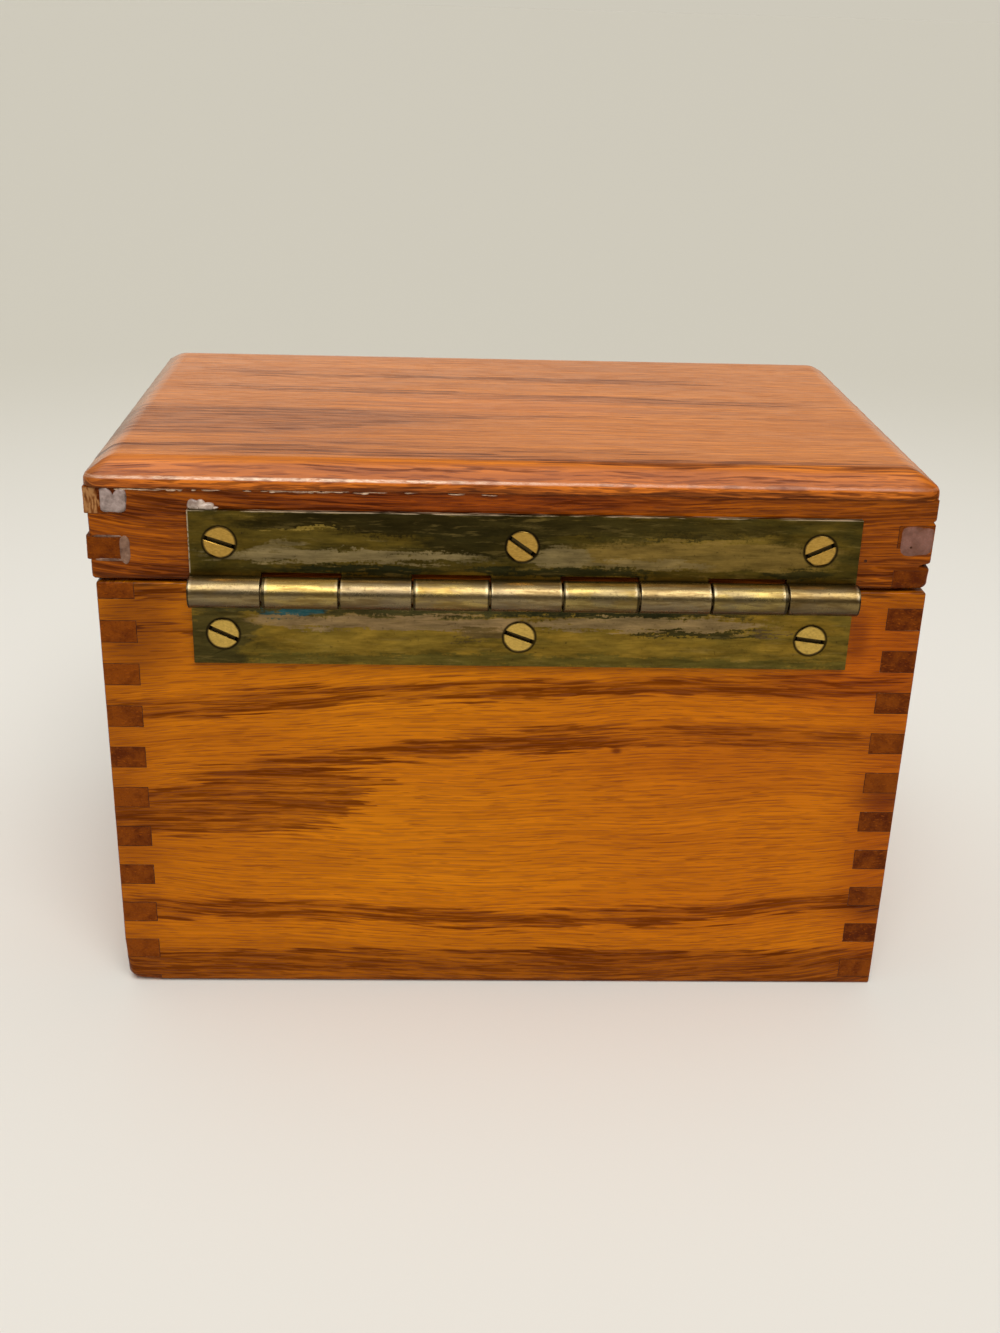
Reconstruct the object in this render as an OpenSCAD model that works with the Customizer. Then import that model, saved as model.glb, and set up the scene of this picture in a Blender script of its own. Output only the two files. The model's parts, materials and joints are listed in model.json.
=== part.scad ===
// Recipe card box: an oak box with finger-jointed corners and a lid sawn from the same box.
// The lid turns on a brass continuous hinge that is screwed to the outside of the back.
// Millimetres. X runs along the box, +Y points to the hinge at the back, +Z is up.
// The origin is the centre of the wooden underside.

/* [Lower box] */
// Outside length of the lower box
box_len = 143.4; // [125:0.1:260]
// Outside depth from front to back
box_depth = 92; // [60:0.5:160]
// Height of the lower box, up to the saw cut
box_h = 81.5; // [45:0.5:140]
// Thickness of the four boards
board_t = 6.35; // [6:0.05:10]

/* [Finger joints] */
// Width of one finger
finger_w = 4.05; // [3:0.05:8]
// Height of the part finger at the bottom edge
first_finger = 1.5; // [1:0.1:3]
// Shortest remnant that stays a finger of its own
min_finger = 0.8; // [0.5:0.1:1.2]

/* [Bottom panel] */
// Thickness of the bottom panel
panel_t = 3.2; // [2:0.1:5]
// Width of the rebate in the four boards that the panel is glued into
rebate_w = 3.2; // [2:0.1:4.5]
// Clearance at the panel's edges in its rebate
panel_play = 0.1; // [0.05:0.05:0.5]

/* [Lid] */
// Height of the lid's frame
lid_h = 16.2; // [15:0.1:60]
// Gap between the lower box and the closed lid
lid_gap = 0.5; // [0.3:0.05:1.5]
// Wood lost to the saw where the lid was cut off
saw_kerf = 1.5; // [0.8:0.1:3]
// How far the lid reaches past the lower box at its right end
lid_over = 1.1; // [0:0.1:2]
// How far the right rail stands proud of the finger ends in its joints
rail_proud = 0.6; // [0:0.1:1]
// Thickness of the lid's top board
top_t = 4.1; // [3.5:0.1:10]
// Width of the bevel along the top board's upper edges
bevel_w = 5; // [1:0.1:12]
// Height of the top board's edge below the bevel
edge_h = 1.6; // [0.5:0.1:3]
// Radius of the top board's corners in plan
top_corner = 2.5; // [1:0.1:5]
// Overhang of the top board at the front and the back
top_over = 0.4; // [0:0.1:2]
// Overhang of the top board at the left end
top_over_left = 0.3; // [0:0.1:2]

/* [Hinge] */
// Length of the hinge
hinge_len = 114.3; // [100:0.1:124]
// How far the hinge sits off the middle of the box
hinge_shift = -1.6; // [-3:0.1:3]
// Number of knuckles, an odd number so that the lid leaf has both ends
knuckles = 9; // [5:2:15]
// Width of a knuckle on the lid leaf
lid_knuckle_w = 12.3; // [5:0.1:18]
// Gap between neighbouring knuckles
knuckle_gap = 0.35; // [0.2:0.05:0.8]
// Outside diameter of the barrel
barrel_d = 5.4; // [5:0.1:7]
// Diameter of the hinge pin
pin_d = 3.1; // [2:0.1:3.2]
// Radial clearance between the pin and the knuckles
pin_play = 0.05; // [0.02:0.01:0.1]
// How far the pin's ends lie inside the barrel's ends
pin_recess = 0.3; // [0:0.1:1]
// Thickness of the hinge leaves
leaf_t = 1.05; // [0.8:0.05:1.2]
// Distance from the pin's axis to the edge of a leaf
leaf_w = 13.85; // [12:0.05:14.5]
// How far a leaf's notch reaches past the other leaf's knuckle
notch_reach = 0.3; // [0.2:0.1:2]
// How far the pin sits below the middle of the gap under the lid
hinge_drop = 0.8; // [0:0.1:1.5]
// Clearance between the barrel and the back of the box
barrel_clear = 0.1; // [0.05:0.05:0.5]

/* [Screws] */
// Distance between neighbouring screws along the hinge
screw_pitch = 51.1; // [35:0.1:53]
// How far the middle screws sit off the middle of the hinge
screw_shift = 0.8; // [-2:0.1:2]
// Distance from the pin's axis to the screws
screw_row = 8.3; // [7:0.1:9]
// Diameter of a screw's head
head_d = 5.6; // [4.5:0.1:6]
// Included angle of the countersink
head_angle = 82; // [80:1:90]
// Diameter of a screw's body
shank_d = 2.8; // [2.2:0.1:3]
// Length of a screw with its head
screw_len = 6.2; // [5:0.1:6.4]
// Length of a screw's point
point_len = 1.6; // [1:0.1:2]
// Width of the slot in a head
slot_w = 0.8; // [0.5:0.05:1.2]
// Depth of the slot in a head
slot_depth = 0.7; // [0.4:0.05:1]
// Radial clearance round a screw in the leaf and in the wood
screw_play = 0.05; // [0.02:0.01:0.1]
// Angle of each slot in the lid leaf, from left to right seen from the front
lid_slot_angles = [-25, 35.5, 18]; // [-90:0.5:90]
// Angle of each slot in the box leaf, from left to right seen from the front
box_slot_angles = [7.5, 20, 25]; // [-90:0.5:90]

/* [Hidden] */
$fn = 96;

// Overrun of a cutting shape past the face that it cuts
eps = 0.5;

// Outer faces of the lower box
half_len = box_len / 2;
half_depth = box_depth / 2;

// Heights and ends of the lid
lid_z0 = box_h + lid_gap;
lid_z1 = lid_z0 + lid_h;
top_x0 = -half_len - top_over_left;
lid_x0 = -half_len;
lid_x1 = half_len + lid_over;
lid_fingers_x1 = lid_x1 - rail_proud;

// The lid's fingers run on from the box's, lowered by the wood that the saw took
lid_finger_drop = saw_kerf - lid_gap;

// The boards own the fingers by turns, counted up from the first finger line
LEFT = 0;
RIGHT = 1;

// Place of the pin
axis_y = half_depth + barrel_d / 2 + barrel_clear;
axis_z = box_h + lid_gap / 2 - hinge_drop;
hinge_x0 = hinge_shift - hinge_len / 2;

// Sizes of the knuckles
box_knuckle_w = (hinge_len - (knuckles + 1) / 2 * lid_knuckle_w) / ((knuckles - 1) / 2);
notch_h = barrel_d / 2 + notch_reach;
bore_d = pin_d + 2 * pin_play;

// Sizes of the screws
leaf_face_y = half_depth + leaf_t;
head_h = (head_d - shank_d) / 2 / tan(head_angle / 2);
slot_len = head_d + 2 * eps;

// Colours
oak = [0.70, 0.40, 0.09];
oak_lid = [0.66, 0.38, 0.16];
oak_side = [0.48, 0.24, 0.06];
ply = [0.78, 0.62, 0.38];
brass_dark = [0.34, 0.27, 0.10];
brass_leaf = [0.50, 0.40, 0.15];
brass_screw = [0.66, 0.53, 0.22];
brass_pin = [0.72, 0.60, 0.32];

// Heights where one finger ends and the next begins, with the two ends of the board
function finger_lines(z0, z1, drop) = concat(
    [z0],
    [for (z = [first_finger - drop : finger_w : z1 - min_finger]) if (z > z0 + min_finger) z],
    [z1]
);

// Which end board has the finger between two heights: LEFT or RIGHT
function finger_owner(za, zb, drop) =
    abs(floor(((za + zb) / 2 - first_finger + drop) / finger_w)) % 2;

// Boxes that clear one corner for the other board's fingers.
// They lie between x0 and x1 and between y0 and y1.
// They stand in the rows that the end board named in owner has, or in the rows between.
module finger_cuts(x0, x1, y0, y1, z0, z1, drop, owner, owned) {
    lines = finger_lines(z0, z1, drop);
    last = len(lines) - 2;
    for (i = [0 : last]) {
        has = finger_owner(lines[i], lines[i + 1], drop) == owner;
        za = lines[i] - (i == 0 ? eps : 0);
        zb = lines[i + 1] + (i == last ? eps : 0);
        if (has == owned)
            translate([x0, y0, za])
                cube([x1 - x0, y1 - y0, zb - za]);
    }
}

// Front or back board: a plank along X whose ends are cut for the end boards' fingers.
// side is 1 for the back and -1 for the front.
module long_board(x0, x1, left_t, right_t, side, z0, z1, drop) {
    inner = half_depth - board_t;
    y0 = side > 0 ? inner : -half_depth;
    ya = side > 0 ? inner : -half_depth - eps;
    yb = side > 0 ? half_depth + eps : -inner;
    difference() {
        translate([x0, y0, z0])
            cube([x1 - x0, board_t, z1 - z0]);
        finger_cuts(x0 - eps, x0 + left_t, ya, yb, z0, z1, drop, LEFT, true);
        finger_cuts(x1 - right_t, x1 + eps, ya, yb, z0, z1, drop, RIGHT, true);
    }
}

// End board: a plank along Y that keeps its own fingers at both corners
module end_board(x0, owner, z0, z1, drop) {
    inner = half_depth - board_t;
    xa = x0 - eps;
    xb = x0 + board_t + eps;
    difference() {
        translate([x0, -half_depth, z0])
            cube([board_t, box_depth, z1 - z0]);
        finger_cuts(xa, xb, inner, half_depth + eps, z0, z1, drop, owner, false);
        finger_cuts(xa, xb, -half_depth - eps, -inner, z0, z1, drop, owner, false);
    }
}

// Block centred on X and Y that reaches past the boards' inner faces,
// the shape of the bottom panel and of its rebate
module panel_block(reach, z0) {
    x = box_len - 2 * board_t + 2 * reach;
    y = box_depth - 2 * board_t + 2 * reach;
    translate([-x / 2, -y / 2, z0])
        cube([x, y, panel_t - z0]);
}

module panel_rebate() {
    panel_block(rebate_w, -eps);
}

// Hole for one screw, through the leaf and into the wood
module screw_hole() {
    r = shank_d / 2 + screw_play;
    mouth_r = r + (head_h + eps) * tan(head_angle / 2);
    rotate([90, 0, 0]) {
        cylinder(h = screw_len + screw_play, r = r);
        translate([0, 0, -eps])
            cylinder(h = head_h + eps, r1 = mouth_r, r2 = r);
    }
}

// One screw, its head's face in the plane of y = 0 and its body towards -Y
module screw(slot_angle) {
    difference() {
        rotate([90, 0, 0]) {
            cylinder(h = head_h, r1 = head_d / 2, r2 = shank_d / 2);
            cylinder(h = screw_len - point_len, r = shank_d / 2);
            translate([0, 0, screw_len - point_len])
                cylinder(h = point_len, r1 = shank_d / 2, r2 = shank_d / 8);
        }
        rotate([0, -slot_angle, 0])
            translate([-slot_len / 2, -slot_depth, -slot_w / 2])
                cube([slot_len, slot_depth + eps, slot_w]);
    }
}

// Puts its child at screw i of a leaf: 0 is the left one, up is 1 on the lid and -1 on the box
module at_screw(i, up) {
    x = hinge_shift + screw_shift + (i - 1) * screw_pitch;
    translate([x, leaf_face_y, axis_z + up * screw_row])
        children();
}

module screw_holes(up) {
    for (i = [0 : 2])
        at_screw(i, up) screw_hole();
}

// Distance from the hinge's end to the start of knuckle i
function knuckle_x(i) = ceil(i / 2) * lid_knuckle_w + floor(i / 2) * box_knuckle_w;

// One knuckle and the tongue that joins it to its leaf
module knuckle(i, up) {
    xa = knuckle_x(i) + (i == 0 ? 0 : knuckle_gap / 2);
    xb = knuckle_x(i + 1) - (i == knuckles - 1 ? 0 : knuckle_gap / 2);
    tongue_z = up > 0 ? 0 : -notch_h;
    translate([hinge_x0 + xa, axis_y, axis_z]) {
        rotate([0, 90, 0])
            cylinder(h = xb - xa, d = barrel_d);
        translate([0, half_depth - axis_y, tongue_z])
            cube([xb - xa, leaf_t, notch_h]);
    }
}

// Hinge leaf: up is 1 for the lid's, with the even knuckles, and -1 for the box's
module hinge_leaf(up) {
    plate_z = axis_z + (up > 0 ? notch_h : -leaf_w);
    difference() {
        union() {
            translate([hinge_x0, half_depth, plate_z])
                cube([hinge_len, leaf_t, leaf_w - notch_h]);
            for (i = [(up > 0 ? 0 : 1) : 2 : knuckles - 1])
                knuckle(i, up);
        }
        translate([hinge_x0 - eps, axis_y, axis_z])
            rotate([0, 90, 0])
                cylinder(h = hinge_len + 2 * eps, d = bore_d);
        screw_holes(up);
    }
}

// Cross-section of the top board: a slab with a wide bevel along both upper edges
module bevelled_slab(w) {
    flat = w / 2 - bevel_w;
    polygon([
        [-w / 2, 0], [w / 2, 0], [w / 2, edge_h],
        [flat, top_t], [-flat, top_t], [-w / 2, edge_h]
    ]);
}

// Outline of the top board in plan
module rounded_plan(w, d) {
    square([w - 2 * top_corner, d], center = true);
    square([w, d - 2 * top_corner], center = true);
    for (sx = [-1, 1], sy = [-1, 1])
        translate([sx * (w / 2 - top_corner), sy * (d / 2 - top_corner)])
            circle(r = top_corner);
}

module back_board() {
    color(oak)
        difference() {
            long_board(-half_len, half_len, board_t, board_t, 1, 0, box_h, 0);
            panel_rebate();
            screw_holes(-1);
        }
}

module front_board() {
    color(oak)
        difference() {
            long_board(-half_len, half_len, board_t, board_t, -1, 0, box_h, 0);
            panel_rebate();
        }
}

module left_side() {
    color(oak_side)
        difference() {
            end_board(-half_len, LEFT, 0, box_h, 0);
            panel_rebate();
        }
}

module right_side() {
    color(oak_side)
        difference() {
            end_board(half_len - board_t, RIGHT, 0, box_h, 0);
            panel_rebate();
        }
}

module bottom_panel() {
    color(ply)
        panel_block(rebate_w - panel_play, 0);
}

module lid_top() {
    w = lid_x1 - top_x0;
    d = box_depth + 2 * top_over;
    color(oak_lid)
        translate([(top_x0 + lid_x1) / 2, 0, lid_z1])
            intersection() {
                translate([0, d / 2, 0])
                    rotate([90, 0, 0])
                        linear_extrude(height = d) bevelled_slab(w);
                translate([-w / 2, 0, 0])
                    rotate([90, 0, 90])
                        linear_extrude(height = w) bevelled_slab(d);
                linear_extrude(height = top_t) rounded_plan(w, d);
            }
}

module lid_long_rail(side) {
    long_board(
        lid_x0, lid_fingers_x1, board_t, board_t - rail_proud,
        side, lid_z0, lid_z1, lid_finger_drop
    );
}

module lid_back_rail() {
    color(oak_lid)
        difference() {
            lid_long_rail(1);
            screw_holes(1);
        }
}

module lid_front_rail() {
    color(oak_lid)
        lid_long_rail(-1);
}

module lid_left_rail() {
    color(oak_side)
        end_board(lid_x0, LEFT, lid_z0, lid_z1, lid_finger_drop);
}

module lid_right_rail() {
    color(oak_side)
        end_board(lid_x1 - board_t, RIGHT, lid_z0, lid_z1, lid_finger_drop);
}

module box_hinge_leaf() {
    color(brass_leaf)
        hinge_leaf(-1);
}

module lid_hinge_leaf() {
    color(brass_dark)
        hinge_leaf(1);
}

module hinge_pin() {
    color(brass_pin)
        translate([hinge_x0 + pin_recess, axis_y, axis_z])
            rotate([0, 90, 0])
                cylinder(h = hinge_len - 2 * pin_recess, d = pin_d);
}

module lid_screw(i) {
    color(brass_screw)
        at_screw(i, 1) screw(lid_slot_angles[i]);
}

module box_screw(i) {
    color(brass_screw)
        at_screw(i, -1) screw(box_slot_angles[i]);
}

back_board();
front_board();
left_side();
right_side();
bottom_panel();
lid_top();
lid_back_rail();
lid_front_rail();
lid_left_rail();
lid_right_rail();
box_hinge_leaf();
lid_hinge_leaf();
hinge_pin();
lid_screw(0);  // lid_screw_left
lid_screw(1);  // lid_screw_middle
lid_screw(2);  // lid_screw_right
box_screw(0);  // box_screw_left
box_screw(1);  // box_screw_middle
box_screw(2);  // box_screw_right
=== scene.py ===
import json
import math
import random

import bmesh
import bpy
from mathutils import Matrix, Vector, noise


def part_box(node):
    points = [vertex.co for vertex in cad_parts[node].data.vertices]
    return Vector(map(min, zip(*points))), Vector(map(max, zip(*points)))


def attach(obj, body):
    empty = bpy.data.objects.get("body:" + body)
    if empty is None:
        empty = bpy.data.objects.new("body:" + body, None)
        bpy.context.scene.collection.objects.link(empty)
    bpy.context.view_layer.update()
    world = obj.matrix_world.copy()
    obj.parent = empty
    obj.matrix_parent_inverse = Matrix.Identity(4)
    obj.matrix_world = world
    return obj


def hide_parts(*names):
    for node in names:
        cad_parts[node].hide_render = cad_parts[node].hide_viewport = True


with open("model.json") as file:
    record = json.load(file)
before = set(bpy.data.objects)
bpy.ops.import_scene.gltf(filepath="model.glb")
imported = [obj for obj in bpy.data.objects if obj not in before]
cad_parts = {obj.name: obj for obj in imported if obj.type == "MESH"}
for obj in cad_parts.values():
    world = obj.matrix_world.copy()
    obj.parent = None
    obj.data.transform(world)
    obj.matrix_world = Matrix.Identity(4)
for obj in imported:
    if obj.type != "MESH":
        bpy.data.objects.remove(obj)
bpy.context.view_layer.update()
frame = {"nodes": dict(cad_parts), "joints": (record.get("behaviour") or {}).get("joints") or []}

MM = 0.001

# The frame's own sizes, in metres
back_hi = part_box("back_board")[1]
HALF_LEN = back_hi.x
HALF_DEPTH = back_hi.y
BOX_H = back_hi.z
rail_lo, rail_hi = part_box("lid_right_rail")
LID_Z0 = rail_lo.z
LID_Z1 = rail_hi.z
LID_X1 = rail_hi.x
RAIL_END_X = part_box("lid_back_rail")[1].x
top_lo, top_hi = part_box("lid_top")

# The hinge's sizes, in millimetres
AXIS_Y, AXIS_Z = (c / MM for c in frame["joints"][0]["pos_m"][1:])
leaf_lo, leaf_hi = (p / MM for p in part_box("lid_hinge_leaf"))
screw_lo, screw_hi = (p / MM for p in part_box("lid_screw_middle"))
BARREL_R = leaf_hi.y - AXIS_Y
LEAF_FACE_Y = screw_hi.y
KNUCKLES = 9
KNUCKLE = (leaf_hi.x - leaf_lo.x) / KNUCKLES
SCREW_X = (screw_lo.x + screw_hi.x) / 2
SCREW_ROW = (screw_lo.z + screw_hi.z) / 2 - AXIS_Z
SCREW_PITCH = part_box("lid_screw_right")[1].x / MM - screw_hi.x
HEAD_R = (screw_hi.x - screw_lo.x) / 2

# Places on the object, in millimetres
FINGER_W = 4.05  # height of a finger, as in the construction
FIRST_FINGER = 1.5  # where the fingers' rhythm starts above the underside
DULL_END = (-70.5, -66.0)  # the top board's dull bevel at the -X end, seen along X
CHIP_BACK = (36.0, 38.0)  # the broken corner's bare wood starts here along Y

# Colours, linear
OAK_LIGHT = (0.64, 0.200, 0.001)
OAK_MID = (0.265, 0.064, 0.001)
OAK_DARK = (0.120, 0.024, 0.0005)


class Nodes:
    """The nodes of one node tree. Each method adds a node and returns its output socket."""

    def __init__(self, tree):
        self.tree = tree
        tree.nodes.clear()

    def put(self, socket, value):
        if isinstance(value, bpy.types.NodeSocket):
            self.tree.links.new(value, socket)
        elif socket.type == "RGBA":
            socket.default_value = (*value, 1.0)
        else:
            socket.default_value = value

    def new(self, kind, *inputs, **settings):
        """Adds a node with its own settings and the values of its first input sockets."""
        n = self.tree.nodes.new("ShaderNode" + kind)
        for key, value in settings.items():
            setattr(n, key, value)
        for socket, value in zip(n.inputs, inputs):
            self.put(socket, value)
        return n

    def math(self, op, a, b=0.0, c=0.0, clamp=False):
        return self.new("Math", a, b, c, operation=op, use_clamp=clamp).outputs[0]

    def add(self, a, b, clamp=False):
        return self.math("ADD", a, b, clamp=clamp)

    def sub(self, a, b):
        return self.math("SUBTRACT", a, b)

    def mul(self, product, *factors):
        for factor in factors:
            product = self.math("MULTIPLY", product, factor)
        return product

    def div(self, a, b):
        return self.math("DIVIDE", a, b)

    def vector(self, x, y, z):
        return self.new("CombineXYZ", x, y, z).outputs[0]

    def vmath(self, op, a, b):
        return self.new("VectorMath", a, b, operation=op).outputs["Vector"]

    def scale(self, vector, factor):
        n = self.new("VectorMath", vector, operation="SCALE")
        self.put(n.inputs["Scale"], factor)
        return n.outputs["Vector"]

    def length(self, x, y, z=0.0):
        return self.new("VectorMath", self.vector(x, y, z), operation="LENGTH").outputs["Value"]

    def step(self, value, low, high):
        """0 below low and 1 above high, smooth between; low may be the larger."""
        return self.new("MapRange", value, low, high, interpolation_type="SMOOTHSTEP").outputs[0]

    def span(self, value, low, high, to_low=0.0, to_high=1.0):
        """A straight rise between two values, held level past them."""
        return self.new("MapRange", value, low, high, to_low, to_high).outputs[0]

    def noise(self, vector, detail=2.0, rough=0.5):
        n = self.new("TexNoise", vector)
        for key, value in (("Scale", 1.0), ("Detail", detail), ("Roughness", rough)):
            n.inputs[key].default_value = value
        return n.outputs["Fac"]

    def cells(self, vector, flat=False):
        """The distance from the nearest of many scattered points."""
        n = self.new("TexVoronoi", vector, voronoi_dimensions="2D" if flat else "3D")
        n.inputs["Scale"].default_value = 1.0
        return n.outputs["Distance"]

    def mix(self, fac, a, b, mode="MIX"):
        n = self.new("Mix", fac, data_type="RGBA", blend_type=mode)
        self.put(n.inputs[6], a)
        self.put(n.inputs[7], b)
        return n.outputs[2]

    def coat(self, colour, tone, mask, strength):
        """Another tone laid over a colour where the mask is."""
        return self.mix(self.mul(mask, strength), colour, tone)

    def tint(self, colour, factors, mask=1.0):
        """A colour times three factors where the mask is."""
        return self.mix(mask, colour, factors, "MULTIPLY")

    def curve(self, value, points):
        """A smooth curve through points, each (value, result), held level past its ends."""
        xs = [p[0] for p in points]
        ys = [p[1] for p in points]
        x0, x1 = min(xs), max(xs)
        y0, y1 = min(ys) - 1.0, max(ys) + 1.0
        n = self.new("FloatCurve")
        c = n.mapping.curves[0]
        flat = [((x - x0) / (x1 - x0), (y - y0) / (y1 - y0)) for x, y in sorted(points)]
        c.points[0].location = flat[0]
        c.points[-1].location = flat[-1]
        for p in flat[1:-1]:
            c.points.new(*p)
        n.mapping.update()
        self.put(n.inputs["Value"], self.span(value, x0, x1))
        return self.span(n.outputs[0], 0.0, 1.0, y0, y1)

    def bump(self, height, depth_mm, strength=1.0):
        n = self.new("Bump", strength, depth_mm * MM)
        self.put(n.inputs["Height"], height)
        return n.outputs[0]


class Material(Nodes):
    """A material with one main shader. place is the point in millimetres; x, y and z are its
    parts, together in xyz."""

    def __init__(self, name):
        self.mat = bpy.data.materials.new(name)
        self.mat.use_nodes = True
        super().__init__(self.mat.node_tree)
        self.shader = self.new("BsdfPrincipled")
        self.new("OutputMaterial", self.shader.outputs[0])
        self.place = self.scale(self.new("TexCoord").outputs["Object"], 1 / MM)
        self.xyz = self.new("SeparateXYZ", self.place).outputs
        self.x, self.y, self.z = self.xyz

    def set(self, **values):
        """Sets the shader's own sockets: set(Roughness=0.3)."""
        for key, value in values.items():
            self.put(self.shader.inputs[key.replace("_", " ")], value)

    def cloud(self, scale, detail=2.0, rough=0.5):
        """Even noise in the piece's own space; scale is per millimetre."""
        return self.noise(self.scale(self.place, scale), detail, rough)


# Oak
class Band:
    """A band of crowded pores that follows a line of (along, across) points in millimetres.
    The pores start abruptly below the line and thin out above it."""

    def __init__(self, points, below=1.0, above=2.0, strength=1.0, fade=8.0):
        self.points = points
        self.below = below
        self.above = above
        self.strength = strength
        self.fade = fade

    def mask(self, m, u, v):
        rise = m.sub(v, m.curve(u, self.points))
        low = m.step(rise, -self.below - 0.25, -self.below + 0.35)
        high = m.step(rise, self.above, self.above * 0.45)
        xs = [p[0] for p in self.points]
        enter = m.step(u, min(xs) - self.fade, min(xs) + self.fade)
        leave = m.step(u, max(xs) + self.fade, max(xs) - self.fade)
        return m.mul(low, high, enter, leave, self.strength)


class Patch:
    """Crowded pores between a lower and an upper line, where a growth ring lies flat."""

    def __init__(self, lower, upper, strength=1.0):
        self.lower = lower
        self.upper = upper
        self.strength = strength

    def mask(self, m, u, v):
        over = m.sub(v, m.curve(u, self.lower))
        under = m.sub(m.curve(u, self.upper), v)
        return m.mul(m.step(over, -0.6, 0.4), m.step(under, -0.6, 0.4), self.strength)


class Rings:
    """Growth rings round a pith that lies under the board's face and leans along the board."""

    def __init__(self, middle, below, lean, period=9.0, strength=0.9):
        self.middle = middle
        self.below = below
        self.lean = lean
        self.period = period
        self.strength = strength

    def mask(self, m, u, v, w):
        across = m.sub(v, self.middle)
        down = m.add(m.add(w, self.below), m.mul(u, self.lean))
        wander = m.noise(m.vector(m.div(u, 60.0), m.div(v, 18.0), 0.5), 1.0)
        radius = m.add(m.length(across, down), m.mul(wander, 14.0))
        phase = m.math("FRACT", m.div(radius, self.period))
        return m.mul(m.step(phase, 0.0, 0.05), m.step(phase, 0.55, 0.15), self.strength)


class Grain:
    """The grain of one board. u runs along it, v across it and w through it, in millimetres;
    level is v bent along the grain's lines. flow, stretch and tick are as oak says."""

    def __init__(self, m, along, across, flow, seed, stretch, tick):
        self.m = m
        self.seed = seed
        self.stretch = stretch
        self.tick = tick
        self.u, self.v, self.w = m.xyz[along], m.xyz[across], m.xyz[3 - along - across]
        wave = m.noise(m.vector(m.div(self.u, 45.0), m.div(self.v, 30.0), seed), 1.0)
        level = m.add(self.follow(*flow) if flow else self.v, m.mul(wave, 5.0))
        self.level = m.add(level, m.mul(self.w, 0.8))
        self.ragged = m.mul(m.sub(self.fibres(9.0, 0.7, 7.7, 2.0), 0.5), 5.0)
        self.frayed = m.mul(m.sub(self.fibres(16.0, 0.7, 2.7, 2.0), 0.5), 30.0)

    def follow(self, lower, upper):
        """v without the rise of two lines, each given with the height where it counts."""
        m = self.m
        (low_at, low_line), (high_at, high_line) = lower, upper
        t = m.step(self.v, low_at, high_at)
        low = m.mul(m.sub(m.curve(self.u, low_line), low_at), m.sub(1.0, t))
        high = m.mul(m.sub(m.curve(self.u, high_line), high_at), t)
        return m.sub(m.sub(self.v, low), high)

    def fibres(self, length, width, offset, detail=1.0):
        """Noise in streaks of that length and width along the grain."""
        m = self.m
        along = m.div(self.u, length * self.stretch)
        return m.noise(m.vector(along, m.div(self.level, width), offset + self.seed), detail)

    def dashes(self, length, width, offset):
        """Distance from the nearest of many points, squeezed into short lines."""
        m = self.m
        along = m.div(m.add(self.u, offset + self.seed * 13), length * self.tick)
        return m.cells(m.vector(along, m.div(self.level, width), 0.0), flat=True)

    def crowding(self, features, rings, calm):
        """How crowded the pores are, from 0 to 1: in the rings and the features."""
        m = self.m
        rough_u = m.add(self.u, self.frayed)
        rough_v = m.add(self.v, self.ragged)
        dense = rings.mask(m, self.u, rough_v, self.w) if rings else 0.0
        for feature in features:
            dense = m.math("MAXIMUM", dense, feature.mask(m, rough_u, rough_v))
        clumps = m.span(self.fibres(22.0, 1.2, 4.2, 2.0), 0.40, 0.56, calm, 1.0)
        return m.math("MULTIPLY", dense, clumps, clamp=True)


def scaled(colour, *factors):
    if len(factors) == 1:
        factors = factors * 3
    return tuple(c * f for c, f in zip(colour, factors))


def outer_face(m):
    """1 on the outer faces of the box and the lid, 0 inside and on their rims."""
    x = m.step(m.math("ABSOLUTE", m.x), HALF_LEN / MM - 1.5, HALF_LEN / MM - 0.5)
    y = m.step(m.math("ABSOLUTE", m.y), HALF_DEPTH / MM - 1.5, HALF_DEPTH / MM - 0.5)
    return m.math("MAXIMUM", x, y)


def shaded(m, grain, base, shades):
    """Soft ovals that tint the colour: middle, half sizes, colour factors. Some are the wood's own
    tone, some painted shade, such as a cast shadow or a bevel facing away from the light.
    """
    for u, v, half_u, half_v, factors in shades:
        away = m.length(m.div(m.sub(grain.u, u), half_u), m.div(m.sub(grain.v, v), half_v))
        base = m.tint(base, factors, m.step(away, 1.6, 0.3))
    return base


def upright_edge(m, grain, base, dark, painted_edge_light):
    """The top board's upright edge: (upper, lower, colour factors), the factors painted light for
    how the light falls on that face, with dark chips.
    """
    high, low, factors = painted_edge_light
    upright = m.mul(m.step(m.z, high, low), outer_face(m))
    base = m.tint(base, factors, upright)
    place = m.vector(m.div(grain.u, 5.5), m.div(m.z, 0.55), grain.seed + 3.0)
    chips = m.mul(m.step(m.noise(place, 2.0, 0.6), 0.50, 0.58), upright)
    return m.coat(base, dark, chips, 0.6)


def seam_shade_and_dirt(m, grain, base, height, reach):
    """Painted shade with some dirt along the outer face where the box and the lid, or the lid and
    its top, meet.
    """
    away = m.math("ABSOLUTE", m.sub(m.add(m.z, grain.ragged), height))
    shade_and_dirt = m.mul(m.step(away, reach, reach * 0.2), 0.75, outer_face(m))
    return m.tint(base, (0.16, 0.12, 0.12), shade_and_dirt)


def arris_highlight_and_wear(m, grain, base, low, high, tone, line):
    """A pale arris at the back between two heights, a painted highlight with some wear; its
    strength follows line.
    """
    place = m.vector(m.div(grain.u, 1.8), m.div(m.z, 0.3), grain.seed)
    run = m.span(m.noise(place, 3.0, 0.7), 0.36, 0.62, 0.15, 1.0)
    wear_and_painted_light = m.mul(m.step(m.z, low - 0.1, low + 0.1), m.step(m.z, high + 0.1, high - 0.1),
                 m.step(m.y, HALF_DEPTH / MM - 3, HALF_DEPTH / MM - 1), run)
    return m.coat(base, tone, wear_and_painted_light, m.curve(grain.u, line))


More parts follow.
